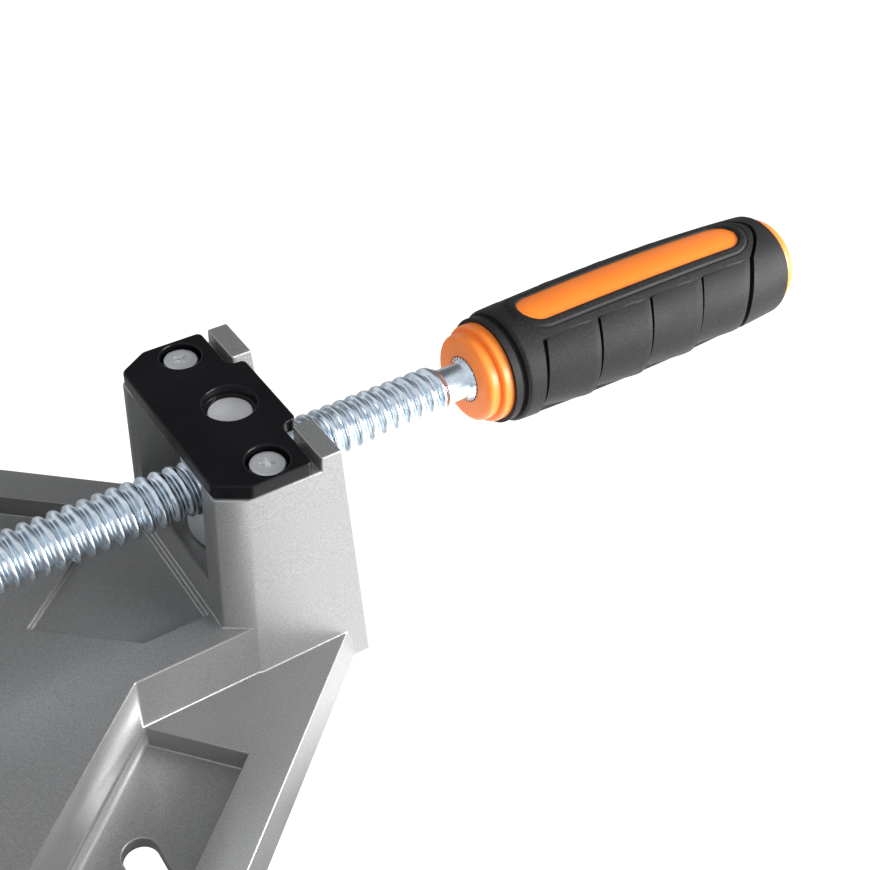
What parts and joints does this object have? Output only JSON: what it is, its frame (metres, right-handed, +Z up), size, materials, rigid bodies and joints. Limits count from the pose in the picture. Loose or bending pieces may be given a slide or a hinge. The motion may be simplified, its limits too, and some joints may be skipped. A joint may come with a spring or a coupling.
{
  "type": "corner clamp",
  "caption": "Right-angle corner clamp: cast body with two square fences, swivelling spindle, wedge jaw and two-part grip handle.",
  "frame": {"origin": "theoretical corner where the two fence faces meet, at bench level", "axes": "+X along the spindle towards the handle, +Y across to the far fence, +Z up"},
  "size_m": [0.3661, 0.183, 0.074],
  "materials": {
    "cast_silver": "satin silver lacquer with a fine metallic speckle",
    "black_plate": "glossy black enamel",
    "zinc_screw": "bright zinc plate",
    "grey_steel": "turned steel, grey",
    "zinc_spindle": "bluish zinc plate, rolled",
    "spring_steel": "blackened spring steel",
    "orange_plastic": "orange moulded plastic, satin gloss",
    "black_rubber": "matte charcoal rubber"
  },
  "bodies": {
    "body": {"body_casting": "cast_silver", "cover_plate": "black_plate", "cover_screws": "zinc_screw"},
    "nut": {"swivel_nut": "grey_steel"},
    "carriage": {"jaw_swivel_block": "grey_steel"},
    "spindle": {"spindle": "zinc_spindle", "thrust_washer": "zinc_screw", "nose_clip": "spring_steel", "handle_core": "orange_plastic", "handle_grip": "black_rubber", "handle_cap": "orange_plastic"},
    "jaw": {"moving_jaw": "cast_silver", "jaw_plate": "black_plate", "jaw_plate_screws": "zinc_screw"}
  },
  "joints": [
    {"name": "nut_swing", "type": "hinge", "parent": "body", "child": "nut", "pos_m": [0.164, 0, 0.052], "axis": [0, 0, 1], "range_deg": [-6, 6]},
    {"name": "jaw_slide", "type": "slide", "parent": "nut", "child": "carriage", "axis": [1, 0, 0], "range_m": [-0.023, 0.061]},
    {"name": "spindle_turn", "type": "hinge", "parent": "carriage", "child": "spindle", "pos_m": [0.164, 0, 0.052], "axis": [1, 0, 0], "range_deg": [-2300, 5950]},
    {"name": "jaw_pivot", "type": "hinge", "parent": "carriage", "child": "jaw", "pos_m": [0.064, 0, 0.052], "axis": [0, 0, 1], "range_deg": [-6.5, 6.5]}
  ],
  "couplings": [
    {"joint": "spindle_turn", "follows": "jaw_slide", "rad_per_m": 1684.5},
    {"joint": "jaw_pivot", "follows": "nut_swing", "ratio": -1}
  ]
}
